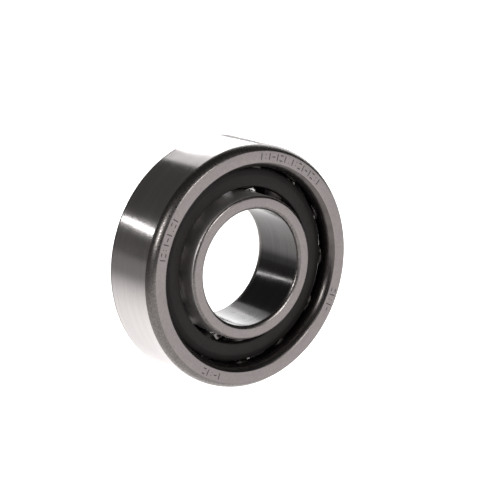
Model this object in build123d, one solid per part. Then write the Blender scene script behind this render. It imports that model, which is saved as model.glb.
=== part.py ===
from build123d import *
import math
import os

# Single-row angular contact ball bearing with a moulded window cage, standing on its rim.
# Millimetres. The bearing's axis is +Y, +Z is up, and the origin is on that axis at mid-width.
# The back side, at -Y, is the outer ring's wide shoulder and the inner ring's low land.
# The front side, at +Y, is the outer ring's relieved shoulder and the inner ring's high one.

# Boundary dimensions
bore_diameter = 25.0
outside_diameter = 52.0
width = 15.0

# Rolling set
ball_diameter = 7.938
ball_count = 13
pitch_offset = 0.4
contact_angle = 40.0
first_ball_angle = 23.0
inner_conformity = 0.515
outer_conformity = 0.525
raceway_clearance = 0.02

# Ring shoulders, measured from the bottom of each groove
outer_shoulder_height = 2.3
inner_shoulder_height = 2.6
retaining_lip = 0.12
lip_slope_length = 1.2
front_relief = 0.15

# Corners, each as its drop along the face and its run along the wall
large_corner = (1.1, 2.2)
small_corner = (0.6, 0.9)
outer_shoulder_round = (1.2, 2.4)
land_round = (0.5, 0.8)
edge_break = (0.3, 0.3)

# Cage, mostly as its clearances to the balls and rings
pocket_clearance = 0.12
rim_wall = 0.61
rim_face_width = 2.5
rim_slope = 0.5
land_gap = 1.4
shoulder_gap = 0.45
cone_gap = 0.36
lip_gap = 1.05
high_shoulder_gap = 1.55
cone_angle = 45.0
inner_wall_length = 4.3
cage_edge_radius = 0.25

# Places that follow from the sizes above. A groove centre is (radius, axial place).
half_width = width / 2
ball_radius = ball_diameter / 2
pitch_radius = (bore_diameter + outside_diameter) / 4 + pitch_offset / 2
contact = math.radians(contact_angle)
outer_groove_radius = outer_conformity * ball_diameter
inner_groove_radius = inner_conformity * ball_diameter
outer_offset = outer_groove_radius - ball_radius - raceway_clearance
inner_offset = inner_groove_radius - ball_radius - raceway_clearance
outer_groove_centre = (
    pitch_radius - outer_offset * math.cos(contact),
    outer_offset * math.sin(contact),
)
inner_groove_centre = (
    pitch_radius + inner_offset * math.cos(contact),
    -inner_offset * math.sin(contact),
)
outer_groove_bottom = outer_groove_centre[0] + outer_groove_radius
inner_groove_bottom = inner_groove_centre[0] - inner_groove_radius
outer_shoulder_radius = outer_groove_bottom - outer_shoulder_height
inner_shoulder_radius = inner_groove_bottom + inner_shoulder_height
lip_radius = outer_groove_bottom - retaining_lip
front_relief_radius = outer_groove_bottom + front_relief


def corner(wall_radius, face_place, outward, size):
    """Arc that leaves a cylindrical wall tangentially and meets a side face at an edge."""
    drop, run = size
    side = math.copysign(1, face_place)
    wall_end = (wall_radius, face_place - side * run)
    face_end = (wall_radius + outward * drop, face_place)
    return TangentArc(wall_end, face_end, tangent=(0, side))


def groove_height(centre, radius, wall_radius):
    """Axial distance from a groove's centre to where it reaches a wall of the given radius."""
    return math.sqrt(radius**2 - (wall_radius - centre[0]) ** 2)


def turned(edges):
    """Solid of revolution about the bearing's axis from a closed half section."""
    return revolve(make_face(edges), axis=Axis.Y)


def make_outer_ring():
    """Wide rounded shoulder at the back, ball groove, small retaining lip and front relief."""
    centre = outer_groove_centre
    radius = outer_groove_radius
    shoulder_end = (
        outer_shoulder_radius,
        centre[1] - groove_height(centre, radius, outer_shoulder_radius),
    )
    lip_end = (lip_radius, centre[1] + groove_height(centre, radius, lip_radius))
    groove = ThreePointArc(shoulder_end, (outer_groove_bottom, centre[1]), lip_end)
    slope = Line(lip_end, (front_relief_radius, lip_end[1] + lip_slope_length))
    back_inner = corner(outer_shoulder_radius, -half_width, 1, outer_shoulder_round)
    back_outer = corner(outside_diameter / 2, -half_width, -1, large_corner)
    front_inner = corner(front_relief_radius, half_width, 1, edge_break)
    front_outer = corner(outside_diameter / 2, half_width, -1, small_corner)
    return turned([
        groove,
        slope,
        Line(slope @ 1, front_inner @ 0),
        front_inner,
        Line(front_inner @ 1, front_outer @ 1),
        front_outer,
        Line(front_outer @ 0, back_outer @ 0),
        back_outer,
        Line(back_outer @ 1, back_inner @ 1),
        back_inner,
        Line(back_inner @ 0, groove @ 0),
    ])


def make_inner_ring():
    """Bore, low land at the back that runs on from the groove, and high front shoulder."""
    centre = inner_groove_centre
    radius = inner_groove_radius
    rise = groove_height(centre, radius, inner_shoulder_radius)
    half_way = math.atan2(rise, centre[0] - inner_shoulder_radius) / 2
    on_groove = (
        centre[0] - radius * math.cos(half_way),
        centre[1] + radius * math.sin(half_way),
    )
    shoulder_end = (inner_shoulder_radius, centre[1] + rise)
    groove = ThreePointArc((inner_groove_bottom, centre[1]), on_groove, shoulder_end)
    back_land = corner(inner_groove_bottom, -half_width, -1, land_round)
    back_bore = corner(bore_diameter / 2, -half_width, 1, small_corner)
    front_shoulder = corner(inner_shoulder_radius, half_width, -1, edge_break)
    front_bore = corner(bore_diameter / 2, half_width, 1, large_corner)
    return turned([
        groove,
        Line(groove @ 1, front_shoulder @ 0),
        front_shoulder,
        Line(front_shoulder @ 1, front_bore @ 1),
        front_bore,
        Line(front_bore @ 0, back_bore @ 0),
        back_bore,
        Line(back_bore @ 1, back_land @ 1),
        back_land,
        Line(back_land @ 0, groove @ 0),
    ])


def ball_place(index):
    """Place of one ball on the pitch circle, counted from +X towards +Z, with its pole radial."""
    angle = first_ball_angle + index * 360 / ball_count
    return Rot(0, -angle, 0) * Pos(pitch_radius, 0, 0) * Rot(0, 90, 0)


def make_cage():
    """Back rim that hides the balls, a cone round the outer ring's shoulder, and a front rim."""
    end = ball_radius + pocket_clearance + rim_wall
    cone = math.radians(cone_angle)
    shoulder_edge = outer_groove_centre[1] - groove_height(
        outer_groove_centre, outer_groove_radius, outer_shoulder_radius
    )
    back_inner = inner_groove_bottom + land_gap
    back_outer = outer_shoulder_radius - shoulder_gap
    front_outer = lip_radius - lip_gap
    front_inner = inner_shoulder_radius + high_shoulder_gap
    cone_start = shoulder_edge + (cone_gap / math.cos(cone) - shoulder_gap) / math.tan(cone)
    outer_run = (front_outer - back_outer) / math.tan(cone)
    inner_run = (front_inner - back_inner) / math.tan(cone)
    section = make_face(Polyline(
        (back_inner, -end),
        (back_inner + rim_face_width, -end),
        (back_outer, rim_slope - end),
        (back_outer, cone_start),
        (front_outer, cone_start + outer_run),
        (front_outer, end),
        (front_inner, end),
        (front_inner, inner_wall_length + inner_run - end),
        (back_inner, inner_wall_length - end),
        close=True,
    ))
    rim_corners = [spot for spot in section.vertices() if math.isclose(abs(spot.Y), end)]
    cage = revolve(fillet(rim_corners, radius=cage_edge_radius), axis=Axis.Y)
    for index in range(ball_count):
        cage -= ball_place(index) * Sphere(ball_radius + pocket_clearance)
    print(f"cage rims {back_inner:.3f} to {back_outer:.3f} and {front_inner:.3f} to {front_outer:.3f}")
    return cage


def write_part(name, solid):
    """Writes one piece and prints its volume."""
    solid.label = name
    export_step(solid, f"parts/{name}.step")
    print(f"{name:12s} {solid.volume:9.1f} mm3")


os.makedirs("parts", exist_ok=True)
write_part("outer_ring", make_outer_ring())
write_part("inner_ring", make_inner_ring())
write_part("cage", make_cage())
for number in range(ball_count):
    write_part(f"ball_{number + 1:02d}", ball_place(number) * Sphere(ball_radius))
print(f"pitch radius {pitch_radius:.4f}, groove bottoms {inner_groove_bottom:.4f} and "
      f"{outer_groove_bottom:.4f}")
print(f"shoulder radii {inner_shoulder_radius:.4f} and {outer_shoulder_radius:.4f}")
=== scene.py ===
import math

import bmesh
import bpy
from mathutils import Matrix, Vector


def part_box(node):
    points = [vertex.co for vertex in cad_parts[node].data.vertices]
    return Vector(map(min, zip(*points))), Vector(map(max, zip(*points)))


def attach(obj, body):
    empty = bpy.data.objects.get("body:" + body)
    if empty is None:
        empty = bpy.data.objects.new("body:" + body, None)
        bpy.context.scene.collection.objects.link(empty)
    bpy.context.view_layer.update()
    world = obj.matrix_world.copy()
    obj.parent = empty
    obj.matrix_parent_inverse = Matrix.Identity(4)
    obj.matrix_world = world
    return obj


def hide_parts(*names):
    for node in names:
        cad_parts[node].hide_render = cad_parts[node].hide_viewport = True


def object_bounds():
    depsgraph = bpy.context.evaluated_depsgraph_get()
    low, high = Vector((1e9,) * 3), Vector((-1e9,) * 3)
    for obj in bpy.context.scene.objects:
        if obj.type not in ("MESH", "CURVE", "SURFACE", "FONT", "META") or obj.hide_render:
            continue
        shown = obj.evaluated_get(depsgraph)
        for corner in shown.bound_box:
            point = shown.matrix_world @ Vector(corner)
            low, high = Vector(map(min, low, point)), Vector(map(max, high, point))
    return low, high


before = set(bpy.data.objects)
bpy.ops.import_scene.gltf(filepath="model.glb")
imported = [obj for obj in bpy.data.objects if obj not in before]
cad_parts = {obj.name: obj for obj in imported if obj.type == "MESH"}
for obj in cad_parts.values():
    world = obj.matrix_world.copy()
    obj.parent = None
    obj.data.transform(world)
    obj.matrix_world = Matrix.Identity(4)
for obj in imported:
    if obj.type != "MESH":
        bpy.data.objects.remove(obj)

cad_low, cad_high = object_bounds()


# ---------------------------------------------------------------- outer ring
# Through-hardened bearing steel. The rim, the side faces and the ball groove are ground, and the
# rounded corners are left as turned and tumbled, so they are darker and pitted. The back side, at
# -Y, has the wide shoulder, and the front side opens out past a small retaining lip.
MM = 0.001
MICRON = 0.000001
scene = bpy.context.scene
ring_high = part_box("outer_ring")[1]
half_width = ring_high[1]
rim_radius = ring_high[0]
large_corner = (1.1 * MM, 2.2 * MM)
small_corner = (0.6 * MM, 0.9 * MM)
edge_break = (0.3 * MM, 0.3 * MM)
shoulder_round = (1.2 * MM, 2.4 * MM)
outer_shoulder_height = 2.3 * MM
retaining_lip = 0.12 * MM
lip_slope_length = 1.2 * MM
front_relief = 0.15 * MM
ball_low, ball_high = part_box("ball_01")
ball_radius = (ball_high[0] - ball_low[0]) / 2
ball_middle = (ball_low + ball_high) / 2
pitch_radius = math.hypot(ball_middle[0], ball_middle[2])
contact_angle = math.radians(40)
outer_conformity = 0.525
raceway_clearance = 0.02 * MM
groove_steps = 28
marking_height = 0.003 * MM
crisp_edge_angle = math.radians(20)
sharp_shading_angle = math.radians(40)


def groove_centre(conformity, side):
    """Radius, distance from the axis and axial place of a groove's arc; side is 1 outer, -1 inner."""
    radius = conformity * 2 * ball_radius
    offset = radius - ball_radius - raceway_clearance
    across = pitch_radius - side * offset * math.cos(contact_angle)
    return radius, across, side * offset * math.sin(contact_angle)


def arc(centre, radius, start, end, steps):
    """Points of an arc in the half section, as (distance from the axis, axial place)."""
    turns = [start + (end - start) * i / steps for i in range(steps + 1)]
    return [(centre[0] + radius * math.cos(t), centre[1] + radius * math.sin(t)) for t in turns]


def corner(wall, face, outward, size, steps=8):
    """Rounded corner from a wall, which it leaves tangentially, to a side face."""
    drop, run = size
    radius = (run**2 + drop**2) / (2 * drop)
    side = math.copysign(1, face)
    centre = (wall + outward * radius, face - side * run)
    sweep = math.asin(run / radius)
    if drop > radius:
        sweep = math.pi - sweep
    points = []
    for i in range(steps + 1):
        t = sweep * i / steps
        points.append((
            centre[0] - outward * radius * math.cos(t),
            centre[1] + side * radius * math.sin(t),
        ))
    return points


def finished(name, bm):
    """Makes the object of a finished bmesh, smooth between its crisp edges."""
    mesh = bpy.data.meshes.new(name)
    bm.to_mesh(mesh)
    bm.free()
    mesh.shade_smooth()
    mesh.set_sharp_from_angle(angle=sharp_shading_angle)
    piece = bpy.data.objects.new(name, mesh)
    scene.collection.objects.link(piece)
    return piece


def turned_ring(name, outline, around=288, rounding=0.05 * MM):
    """A ring spun from its closed half section, with its crisp edges slightly rounded."""
    bm = bmesh.new()
    verts = [bm.verts.new((r, y, 0)) for r, y in outline]
    for a, b in zip(verts, verts[1:] + verts[:1]):
        bm.edges.new((a, b))
    bmesh.ops.spin(
        bm, geom=bm.verts[:] + bm.edges[:], cent=(0, 0, 0), axis=(0, 1, 0),
        angle=math.tau, steps=around, use_merge=True,
    )
    bmesh.ops.remove_doubles(bm, verts=bm.verts[:], dist=1e-7)
    bmesh.ops.recalc_face_normals(bm, faces=bm.faces[:])
    crisp = [e for e in bm.edges if e.calc_face_angle(0) > crisp_edge_angle]
    bmesh.ops.bevel(
        bm, geom=crisp, offset=rounding, segments=3, profile=0.5,
        affect="EDGES", material=-1, clamp_overlap=True,
    )
    return finished(name, bm)


class Finish:
    """A procedural finish: a Principled shader and short ways to add nodes to it."""

    def __init__(self, name, metallic):
        self.material = bpy.data.materials.new(name)
        self.material.use_nodes = True
        self.tree = self.material.node_tree
        self.shader = self.tree.nodes["Principled BSDF"]
        self.set("Metallic", metallic)
        self.place = self.add("ShaderNodeTexCoord").outputs["Object"]

    def set(self, socket, value):
        """Gives a socket of the shader one value for the whole surface."""
        self.shader.inputs[socket].default_value = value

    def vary(self, socket, source):
        """Gives a socket of the shader a value that differs from place to place."""
        self.join(source, self.shader.inputs[socket])

    def add(self, kind, **settings):
        """Adds a node of the given kind, with its settings."""
        node = self.tree.nodes.new(kind)
        for key, value in settings.items():
            setattr(node, key, value)
        return node

    def join(self, source, target):
        """Links an output to an input."""
        self.tree.links.new(source, target)

    def maths(self, operation, a, b=None):
        """Output of a Math node on one or two outputs or numbers."""
        node = self.add("ShaderNodeMath", operation=operation)
        for socket, value in zip(node.inputs, (a, b)):
            if value is None:
                continue
            if isinstance(value, (int, float)):
                socket.default_value = value
            else:
                self.join(value, socket)
        return node.outputs[0]

    def noise(self, vector, scale, detail=2, roughness=0.5):
        """Output of a Noise node; it lies mostly between 0.3 and 0.7."""
        node = self.add("ShaderNodeTexNoise")
        node.inputs["Scale"].default_value = scale
        node.inputs["Detail"].default_value = detail
        node.inputs["Roughness"].default_value = roughness
        self.join(vector, node.inputs["Vector"])
        return node.outputs["Fac"]

    def ring_lines(self, scale, angular_scale, detail=3):
        """Noise drawn out round the ring, made on (distance from the axis, axial place, angle)."""
        parts = self.add("ShaderNodeSeparateXYZ")
        self.join(self.place, parts.inputs[0])
        x, y, z = parts.outputs
        squares = self.maths("ADD", self.maths("MULTIPLY", x, x), self.maths("MULTIPLY", z, z))
        radius = self.maths("SQRT", squares)
        turn = self.maths("ARCTAN2", z, x)
        vector = self.add("ShaderNodeCombineXYZ")
        self.join(self.maths("MULTIPLY", radius, scale), vector.inputs[0])
        self.join(self.maths("MULTIPLY", y, scale), vector.inputs[1])
        self.join(self.maths("MULTIPLY", turn, angular_scale), vector.inputs[2])
        return self.noise(vector.outputs[0], 1.0, detail)

    def spread(self, value, to_low, to_high, low=0.3, high=0.7, ease="LINEAR"):
        """Stretches the range from low to high onto the one from to_low to to_high."""
        node = self.add("ShaderNodeMapRange", interpolation_type=ease)
        numbers = (low, high, to_low, to_high)
        for key, number in zip(("From Min", "From Max", "To Min", "To Max"), numbers):
            node.inputs[key].default_value = number
        self.join(value, node.inputs["Value"])
        return node.outputs["Result"]

    def mix_colour(self, share, first, second):
        """Base colour between two; a Mix node's colours are its inputs 6 and 7 and its output 2."""
        node = self.add("ShaderNodeMix", data_type="RGBA")
        self.join(share, node.inputs["Factor"])
        node.inputs[6].default_value = (*first, 1)
        node.inputs[7].default_value = (*second, 1)
        self.vary("Base Color", node.outputs[2])

    def bump(self, height, distance):
        """Raises the surface by up to the distance where the height is 1."""
        node = self.add("ShaderNodeBump")
        node.inputs["Distance"].default_value = distance
        node.inputs["Strength"].default_value = 1.0
        self.join(height, node.inputs["Height"])
        self.vary("Normal", node.outputs["Normal"])


def ground_steel(name, bright, dull):
    """Ground wall: fine lines and bands round the ring, faint clouds and a few small stains."""
    finish = Finish(name, metallic=1.0)
    lines = finish.ring_lines(9000, 3)
    bands = finish.ring_lines(1500, 1)
    clouds = finish.noise(finish.place, 160, detail=4)
    spots = finish.noise(finish.place, 700, detail=5, roughness=0.7)
    stains = finish.spread(spots, 0, 1, low=0.62)
    rough = finish.maths("ADD", finish.spread(lines, 0.11, 0.17),
                         finish.spread(clouds, 0.0, 0.04, low=0.35))
    rough = finish.maths("ADD", rough, finish.maths("MULTIPLY", stains, 0.1))
    finish.vary("Roughness", rough)
    finish.mix_colour(finish.maths("ADD", finish.spread(bands, 0, 1), stains), bright, dull)
    finish.bump(finish.maths("ADD", lines, finish.maths("MULTIPLY", bands, 1.5)), 1.5 * MICRON)
    return finish.material


def ground_face():
    """Ground side face: pale and matt, with fine lines round the ring."""
    finish = Finish("ground_face", metallic=1.0)
    finish.vary("Roughness", finish.spread(finish.ring_lines(7000, 5), 0.32, 0.44))
    grain = finish.noise(finish.place, 2600)
    finish.mix_colour(finish.spread(grain, 0, 1), (0.192, 0.174, 0.173), (0.166, 0.15, 0.149))
    finish.bump(grain, 2 * MICRON)
    return finish.material


def turned_corner():
    """Corner left as turned, hardened and tumbled: darker, with coarse turning marks and pits."""
    finish = Finish("turned_corner", metallic=1.0)
    marks = finish.ring_lines(5200, 14)
    pits = finish.noise(finish.place, 2700, detail=4, roughness=0.65)
    finish.vary("Roughness", finish.spread(pits, 0.2, 0.44, high=0.75))
    shade = finish.spread(pits, 0, 1, low=0.35, high=0.65)
    finish.mix_colour(shade, (0.145, 0.134, 0.13), (0.09, 0.083, 0.08))
    finish.bump(finish.maths("ADD", marks, finish.maths("MULTIPLY", pits, 2.0)), 5.5 * MICRON)
    return finish.material


def honed_groove():
    """Honed ball groove: almost a mirror, with very faint lines round the ring."""
    finish = Finish("honed_groove", metallic=1.0)
    finish.set("Base Color", (0.36, 0.345, 0.34, 1))
    lines = finish.ring_lines(12000, 2, detail=2)
    finish.vary("Roughness", finish.spread(lines, 0.09, 0.16))
    finish.bump(lines, 0.6 * MICRON)
    return finish.material


def painted_shade_round():
    """Inner rounding and bore of the wide shoulder: ground once, dull, and painted dark as painted
    shade.
    """
    finish = Finish("painted_shade_round", metallic=1.0)
    lines = finish.ring_lines(6000, 3)
    clouds = finish.noise(finish.place, 420, detail=3)
    finish.vary("Roughness", finish.spread(lines, 0.22, 0.3))
    # Painted shade: this steel is coloured far darker than the rim, for the shade inside the shoulder.
    finish.mix_colour(finish.spread(clouds, 0, 1), (0.085, 0.077, 0.075), (0.065, 0.059, 0.057))
    finish.bump(lines, 1.5 * MICRON)
    return finish.material


def turned_land():
    """Land that the ball set is snapped over: fine turned, matt, with even lines round the ring."""
    finish = Finish("turned_land", metallic=1.0)
    lines = finish.ring_lines(8000, 3)
    finish.vary("Roughness", finish.spread(lines, 0.44, 0.56))
    finish.mix_colour(finish.spread(lines, 0, 1), (0.44, 0.415, 0.41), (0.38, 0.36, 0.355))
    finish.bump(lines, 3 * MICRON)
    return finish.material


steels = [
    ground_steel("ground_rim", (0.48, 0.456, 0.452), (0.435, 0.413, 0.41)),
    ground_face(),
    turned_corner(),
    honed_groove(),
    # Painted shade: the bore's steel is coloured several times darker than the rim's.
    ground_steel("painted_shade_bore", (0.095, 0.092, 0.092), (0.078, 0.075, 0.075)),
    painted_shade_round(),
    turned_land(),
]
RIM, FACE, CORNER, GROOVE, SHADED_BORE, SHADED_ROUND, LAND = range(len(steels))
face_slant = 0.999
wall_slant = 0.02
seat_margin = 0.02 * MM
zone_margin = 0.1 * MM
outer_zone_end = 7.3 * MM


def dress_ring(ring, seat_radius, seat_finish, zones):
    """Gives each face of a ring its finish: side faces, the ground seat, zones, and the rest.

    A zone is the finish, the least and greatest radius, and the axial places where it starts and ends.
    """
    for steel in steels:
        ring.data.materials.append(steel)
    for polygon in ring.data.polygons:
        x, y, z = polygon.center
        radius = math.hypot(x, z)
        slant = abs(polygon.normal.y)
        if slant > face_slant:
            polygon.material_index = FACE
        elif slant < wall_slant and abs(radius - seat_radius) < seat_margin:
            polygon.material_index = seat_finish
        else:
            fitting = [finish for finish, low, high, start, end in zones
                       if low < radius < high and start < y < end]
            polygon.material_index = fitting[0] if fitting else CORNER


def outer_outline():
    """Half section of the outer ring, from the back end of its groove and round.

    Its back face lies a marking's height inside the true one, so that the marking is level with it.
    """
    radius, across, place = groove_centre(outer_conformity, 1)
    bottom = across + radius
    shoulder = bottom - outer_shoulder_height
    lip = bottom - retaining_lip
    relief = bottom + front_relief
    start = -math.acos((shoulder - across) / radius)
    end = math.acos((lip - across) / radius)
    points = arc((across, place), radius, start, end, groove_steps)
    points.append((relief, points[-1][1] + lip_slope_length))
    points += corner(relief, half_width, 1, edge_break, 4)
    points += reversed(corner(rim_radius, half_width, -1, small_corner))
    back_face = marking_height - half_width
    points += corner(rim_radius, back_face, -1, large_corner, 12)
    points += reversed(corner(shoulder, back_face, 1, shoulder_round, 10))
    return points, shoulder, relief


outline, outer_shoulder, relief_radius = outer_outline()
shoulder_edge = outline[0][1]
outer_ring = turned_ring("outer_ring_steel", outline)
round_end = outer_shoulder + shoulder_round[0] + zone_margin
dress_ring(
    outer_ring,
    seat_radius=rim_radius,
    seat_finish=RIM,
    zones=(
        (SHADED_ROUND, outer_shoulder - zone_margin, round_end, -half_width, shoulder_edge),
        (GROOVE, outer_shoulder - zone_margin, relief_radius + zone_margin,
         shoulder_edge, outer_zone_end),
    ),
)
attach(outer_ring, "outer_ring")
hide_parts("outer_ring")


# ---------------------------------------------------------------- etched code
# Laser marking on the back face of the outer ring: dark oxide strokes a few micrometres proud.
# It is a plain code of bars, dashes and dots in four groups, with no letters in it. A group runs
# clockwise from its first angle, and a sign is made of one or two round-ended strokes.
code_radius = 23.7 * MM
stroke_width = 0.25 * MM
bar_height = 1.2 * MM
dash_length = 0.6 * MM
double_dash_step = 0.55 * MM
double_dot_step = 0.35 * MM
low_dot_step = -0.5 * MM
cell_angle = 2.6
code_groups = (
    (84, "|:|-|=|.|:=|-|=:|"),
    (167, "|=:|-|.=|"),
    (-21, "=|:|-"),
    (248, "|-:|="),
)
# A stroke is its distance outwards from the middle of the line, its length round the ring, and
# its height.
code_strokes = {
    "|": ((0, 0, bar_height),),
    "-": ((0, dash_length, 0),),
    "=": ((double_dash_step, dash_length, 0), (-double_dash_step, dash_length, 0)),
    ":": ((double_dot_step, 0, 0), (-double_dot_step, 0, 0)),
    ".": ((low_dot_step, 0, 0),),
}


def etch_stroke(bm, angle, outward, length, height):
    """One round-ended stroke, standing in the side face and turned to its place on the ring."""
    made = bmesh.ops.create_circle(bm, cap_ends=True, segments=12, radius=stroke_width / 2)
    verts = made["verts"]
    for vert in verts:
        vert.co.x += math.copysign(length / 2, vert.co.x)
        vert.co.y += math.copysign(height / 2, vert.co.y)
    face = verts[0].link_faces[0]
    raised = bmesh.ops.extrude_face_region(bm, geom=[face])["geom"]
    top = [item for item in raised if isinstance(item, bmesh.types.BMVert)]
    bmesh.ops.translate(bm, verts=top, vec=(0, 0, 2 * marking_height))
    verts += top
    stand = Matrix.Rotation(math.radians(90), 4, "X")
    shift = Matrix.Translation((0, 2 * marking_height - half_width, code_radius + outward))
    turn = Matrix.Rotation(math.radians(90 - angle), 4, "Y")
    bmesh.ops.transform(bm, matrix=turn @ shift @ stand, verts=verts)


bm = bmesh.new()
for first_angle, signs in code_groups:
    for place, sign in enumerate(signs):
        for stroke in code_strokes[sign]:
            etch_stroke(bm, first_angle - place * cell_angle, *stroke)
bmesh.ops.recalc_face_normals(bm, faces=bm.faces[:])
code = finished("etched_code", bm)
oxide = Finish("laser_oxide", metallic=0.0)
oxide.set("Specular IOR Level", 0.2)
soot = oxide.noise(oxide.place, 5000, detail=3)
oxide.mix_colour(oxide.spread(soot, 0, 1), (0.015, 0.013, 0.013), (0.04, 0.036, 0.036))
oxide.vary("Roughness", oxide.spread(soot, 0.6, 0.8))
oxide.bump(soot, 2 * MICRON)
code.data.materials.append(oxide.material)
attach(code, "outer_ring")


# ---------------------------------------------------------------- inner ring
# The same steel, ground in the bore, on both side faces and in the groove; the bore is painted
# several times darker than the rim, as painted shade. Its back land is the bottom of the groove
# carried on to the face, and the high shoulder at the front takes the thrust.
bore_radius = 12.5 * MM
land_round = (0.5 * MM, 0.8 * MM)
inner_shoulder_height = 2.6 * MM
inner_conformity = 0.515
inner_zone_end = 7.2 * MM
land_zone_depth = 0.3 * MM
land_zone_rise = 0.01 * MM


def inner_outline():
    """Half section of the inner ring, from the bottom of its groove and round."""
    radius, across, place = groove_centre(inner_conformity, -1)
    bottom = across - radius
    shoulder = bottom + inner_shoulder_height
    end = math.pi - math.acos((across - shoulder) / radius)
    points = arc((across, place), radius, math.pi, end, groove_steps)
    points += corner(shoulder, half_width, -1, edge_break, 4)
    points += reversed(corner(bore_radius, half_width, 1, large_corner, 12))
    points += corner(bore_radius, -half_width, 1, small_corner)
    points += reversed(corner(bottom, -half_width, -1, land_round))
    return points, bottom, shoulder


outline, land_radius, inner_shoulder = inner_outline()
inner_ring = turned_ring("inner_ring_steel", outline)
dress_ring(
    inner_ring,
    seat_radius=bore_radius,
    seat_finish=SHADED_BORE,
    zones=(
        (LAND, land_radius - land_zone_depth, land_radius + land_zone_rise, -inner_zone_end, 0),
        (GROOVE, land_radius - zone_margin, inner_shoulder + zone_margin, 0, inner_zone_end),
    ),
)
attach(inner_ring, "inner_ring")
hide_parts("inner_ring")


# ---------------------------------------------------------------- cage
# One moulding of black glass-filled polyamide: a back rim that hides the balls, a cone round the
# outer ring's shoulder, and a high rim at the front. Each pocket is a sphere that holds its ball.
cage_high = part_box("cage")[1]
pocket_clearance = 0.12 * MM
rim_face_width = 2.5 * MM
rim_slope = 0.5 * MM
land_gap = 1.4 * MM
shoulder_gap = 0.45 * MM
cone_gap = 0.36 * MM
high_shoulder_gap = 1.55 * MM
inner_wall_length = 4.3 * MM
cage_rounding = 0.22 * MM
pocket_edge_angle = math.radians(35)
rim_face_slant = -0.985
ball_names = sorted(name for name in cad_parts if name.startswith("ball_"))
ball_middles = []
for name in ball_names:
    low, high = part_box(name)
    ball_middles.append((low + high) / 2)


def cage_outline():
    """Half section of the cage; its cone leans at 45 degrees and clears the outer shoulder."""
    end = cage_high[1]
    back_inner = land_radius + land_gap
    back_outer = outer_shoulder - shoulder_gap
    cone_start = shoulder_edge + cone_gap * math.sqrt(2) - shoulder_gap
    front_outer = cage_high[0]
    front_inner = inner_shoulder + high_shoulder_gap
    return [
        (back_inner, -end),
        (back_inner + rim_face_width, -end),
        (back_outer, rim_slope - end),
        (back_outer, cone_start),
        (front_outer, cone_start + front_outer - back_outer),
        (front_outer, end),
        (front_inner, end),
        (front_inner, inner_wall_length + front_inner - back_inner - end),
        (back_inner, inner_wall_length - end),
    ]


cage = turned_ring("cage_moulding", cage_outline(), around=208, rounding=cage_rounding)
bm = bmesh.new()
for middle in ball_middles:
    bmesh.ops.create_uvsphere(
        bm, u_segments=64, v_segments=32, radius=ball_radius + pocket_clearance,
        matrix=Matrix.Translation(middle),
    )
pockets = finished("pockets", bm)
cut = cage.modifiers.new("pockets", "BOOLEAN")
cut.operation = "DIFFERENCE"
cut.solver = "EXACT"
cut.object = pockets
cut_cage = cage.evaluated_get(bpy.context.evaluated_depsgraph_get())
cut_mesh = bpy.data.meshes.new_from_object(cut_cage)
cage.modifiers.clear()
cage.data = cut_mesh
bpy.data.objects.remove(pockets)
cage.data.shade_smooth()
cage.data.set_sharp_from_angle(angle=pocket_edge_angle)


def polyamide(name, colour, gloss, roughness):
    """Black polyamide with its short glass fibres showing as a fine uneven grain."""
    plastic = Finish(name, metallic=0.0)
    plastic.set("Specular IOR Level", gloss)
    fibres = plastic.noise(plastic.place, 2200, detail=4, roughness=0.65)
    flow = plastic.noise(plastic.place, 260, detail=3)
    plastic.vary("Roughness", plastic.spread(fibres, roughness - 0.1, roughness + 0.12))
    lighter = [part * 1.25 for part in colour]
    plastic.mix_colour(plastic.spread(flow, 0, 1), colour, lighter)
    plastic.bump(fibres, 10 * MICRON)
    return plastic.material


cage.data.materials.clear()
cage.data.materials.append(polyamide("rim_polyamide", (0.0065, 0.0052, 0.005), 0.14, 0.5))
cage.data.materials.append(polyamide("wall_polyamide", (0.005, 0.0042, 0.004), 0.12, 0.6))
for polygon in cage.data.polygons:
    polygon.material_index = 0 if polygon.normal.y < rim_face_slant else 1
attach(cage, "cage")
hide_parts("cage")


# ---------------------------------------------------------------- balls
# Thirteen lapped balls of bearing steel, 5/16 inch, one in each pocket. They are mirror bright,
# with a trace of oil that dulls them in patches.
lapped = Finish("lapped_steel", metallic=1.0)
oil = lapped.noise(lapped.place, 420, detail=3)
lapped.vary("Roughness", lapped.spread(oil, 0.04, 0.13, low=0.45))
lapped.mix_colour(lapped.spread(oil, 0, 1), (0.40, 0.39, 0.385), (0.34, 0.33, 0.325))
lapped.bump(lapped.noise(lapped.place, 5200), 0.3 * MICRON)
for name, middle in zip(ball_names, ball_middles):
    bm = bmesh.new()
    bmesh.ops.create_icosphere(
        bm, subdivisions=5, radius=ball_radius, matrix=Matrix.Translation(middle),
    )
    ball = finished(f"{name}_lapped", bm)
    ball.data.materials.append(lapped.material)
    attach(ball, name)
    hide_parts(name)


# ---------------------------------------------------------------- floor, light and camera
# A white floor under the rim with a painted pool of light and a painted shadow: its colour and glow
# are painted white in front and to the right and shade to grey behind the bearing on the left. One
# large soft light is behind the bearing and a small one near its edge, with a narrow strip and a soft
# light on the left and a wide one in front. The room is slightly brighter near the floor.
floor_level = cad_low[2]
floor_reach = 3.0
bright_side = (0.853, -0.522)
shade_from = -0.15
shade_to = -0.01
bm = bmesh.new()
bmesh.ops.create_grid(bm, x_segments=1, y_segments=1, size=floor_reach)
bmesh.ops.translate(bm, verts=bm.verts[:], vec=(0, 0, floor_level))
floor = finished("floor", bm)
paper = Finish("painted_light_paper", metallic=0.0)
paper.set("Roughness", 0.9)
paper.set("Emission Color", (1, 0.985, 0.98, 1))
parts = paper.add("ShaderNodeSeparateXYZ")
paper.join(paper.place, parts.inputs[0])
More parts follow.
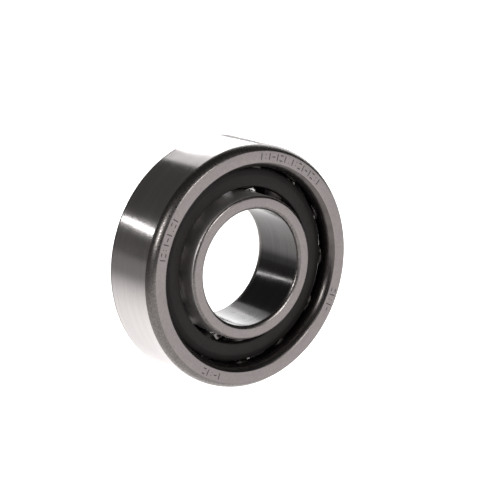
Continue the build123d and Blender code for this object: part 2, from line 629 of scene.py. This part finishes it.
# Painted light: the floor's glow and colour fall from a painted pool of light to a painted shadow,
# grey and dim, behind the bearing on the left.
painted_light_pool = paper.maths("ADD", paper.maths("MULTIPLY", parts.outputs[0], bright_side[0]),
                   paper.maths("MULTIPLY", parts.outputs[1], bright_side[1]))
share = paper.spread(painted_light_pool, 0, 1, low=shade_from, high=shade_to, ease="SMOOTHSTEP")
paper.mix_colour(share, (0.2, 0.197, 0.195), (0.86, 0.85, 0.845))
paper.vary("Emission Strength", paper.spread(share, 0.14, 1.1, low=0, high=1))
floor.data.materials.append(paper.material)

light_distance = 1.2


def soft_light(name, azimuth, elevation, size, power):
    """Area light aimed at the bearing; azimuth from +Y to +X, size in metres, power in watts."""
    a, e = math.radians(azimuth), math.radians(elevation)
    away = Vector((math.sin(a) * math.cos(e), math.cos(a) * math.cos(e), math.sin(e)))
    light = bpy.data.lights.new(name, "AREA")
    light.shape = "RECTANGLE"
    light.size, light.size_y = size
    light.energy = power
    lamp = bpy.data.objects.new(name, light)
    lamp.location = away * light_distance
    lamp.rotation_mode = "QUATERNION"
    lamp.rotation_quaternion = away.to_track_quat("Z", "Y")
    scene.collection.objects.link(lamp)


soft_light("window_right", 46, 21, (1.0, 0.6), 6)
soft_light("window_edge", 19.5, 37, (0.35, 0.25), 0.33)
soft_light("strip_left", -36.7, 16.7, (0.3, 0.04), 0.38)
soft_light("side_left", -101, 26, (0.3, 0.3), 6)
soft_light("front_top", 178, 30, (0.6, 0.6), 14)

glow_height = 0.25
low_glow = 0.15
high_glow = 0.085
world = bpy.data.worlds.new("studio")
scene.world = world
world.use_nodes = True
room = world.node_tree.nodes
backdrop = room["Background"]
backdrop.inputs["Color"].default_value = (1, 0.96, 0.95, 1)
direction = room.new("ShaderNodeTexCoord")
upward = room.new("ShaderNodeSeparateXYZ")
glow = room.new("ShaderNodeMapRange")
glow.interpolation_type = "SMOOTHSTEP"
glow.inputs["From Max"].default_value = glow_height
glow.inputs["To Min"].default_value = low_glow
glow.inputs["To Max"].default_value = high_glow
world.node_tree.links.new(direction.outputs["Generated"], upward.inputs[0])
world.node_tree.links.new(upward.outputs[2], glow.inputs["Value"])
world.node_tree.links.new(glow.outputs["Result"], backdrop.inputs["Strength"])

camera_azimuth = math.radians(-37.43)
camera_elevation = math.radians(14.78)
camera_distance = 0.53
aim_right = 4.11 * MM
aim_up = 2.31 * MM
back = Vector((
    math.sin(camera_azimuth) * math.cos(camera_elevation),
    -math.cos(camera_azimuth) * math.cos(camera_elevation),
    math.sin(camera_elevation),
))
right = Vector((math.cos(camera_azimuth), math.sin(camera_azimuth), 0))
up = back.cross(right)
aim = right * aim_right + up * aim_up
lens = bpy.data.cameras.new("camera")
lens.lens = 180.6
lens.sensor_width = 36
camera = bpy.data.objects.new("camera", lens)
camera.location = back * camera_distance
camera.rotation_mode = "QUATERNION"
camera.rotation_quaternion = (aim - camera.location).to_track_quat("-Z", "Y")
scene.collection.objects.link(camera)
scene.camera = camera
scene.view_settings.view_transform = "Standard"
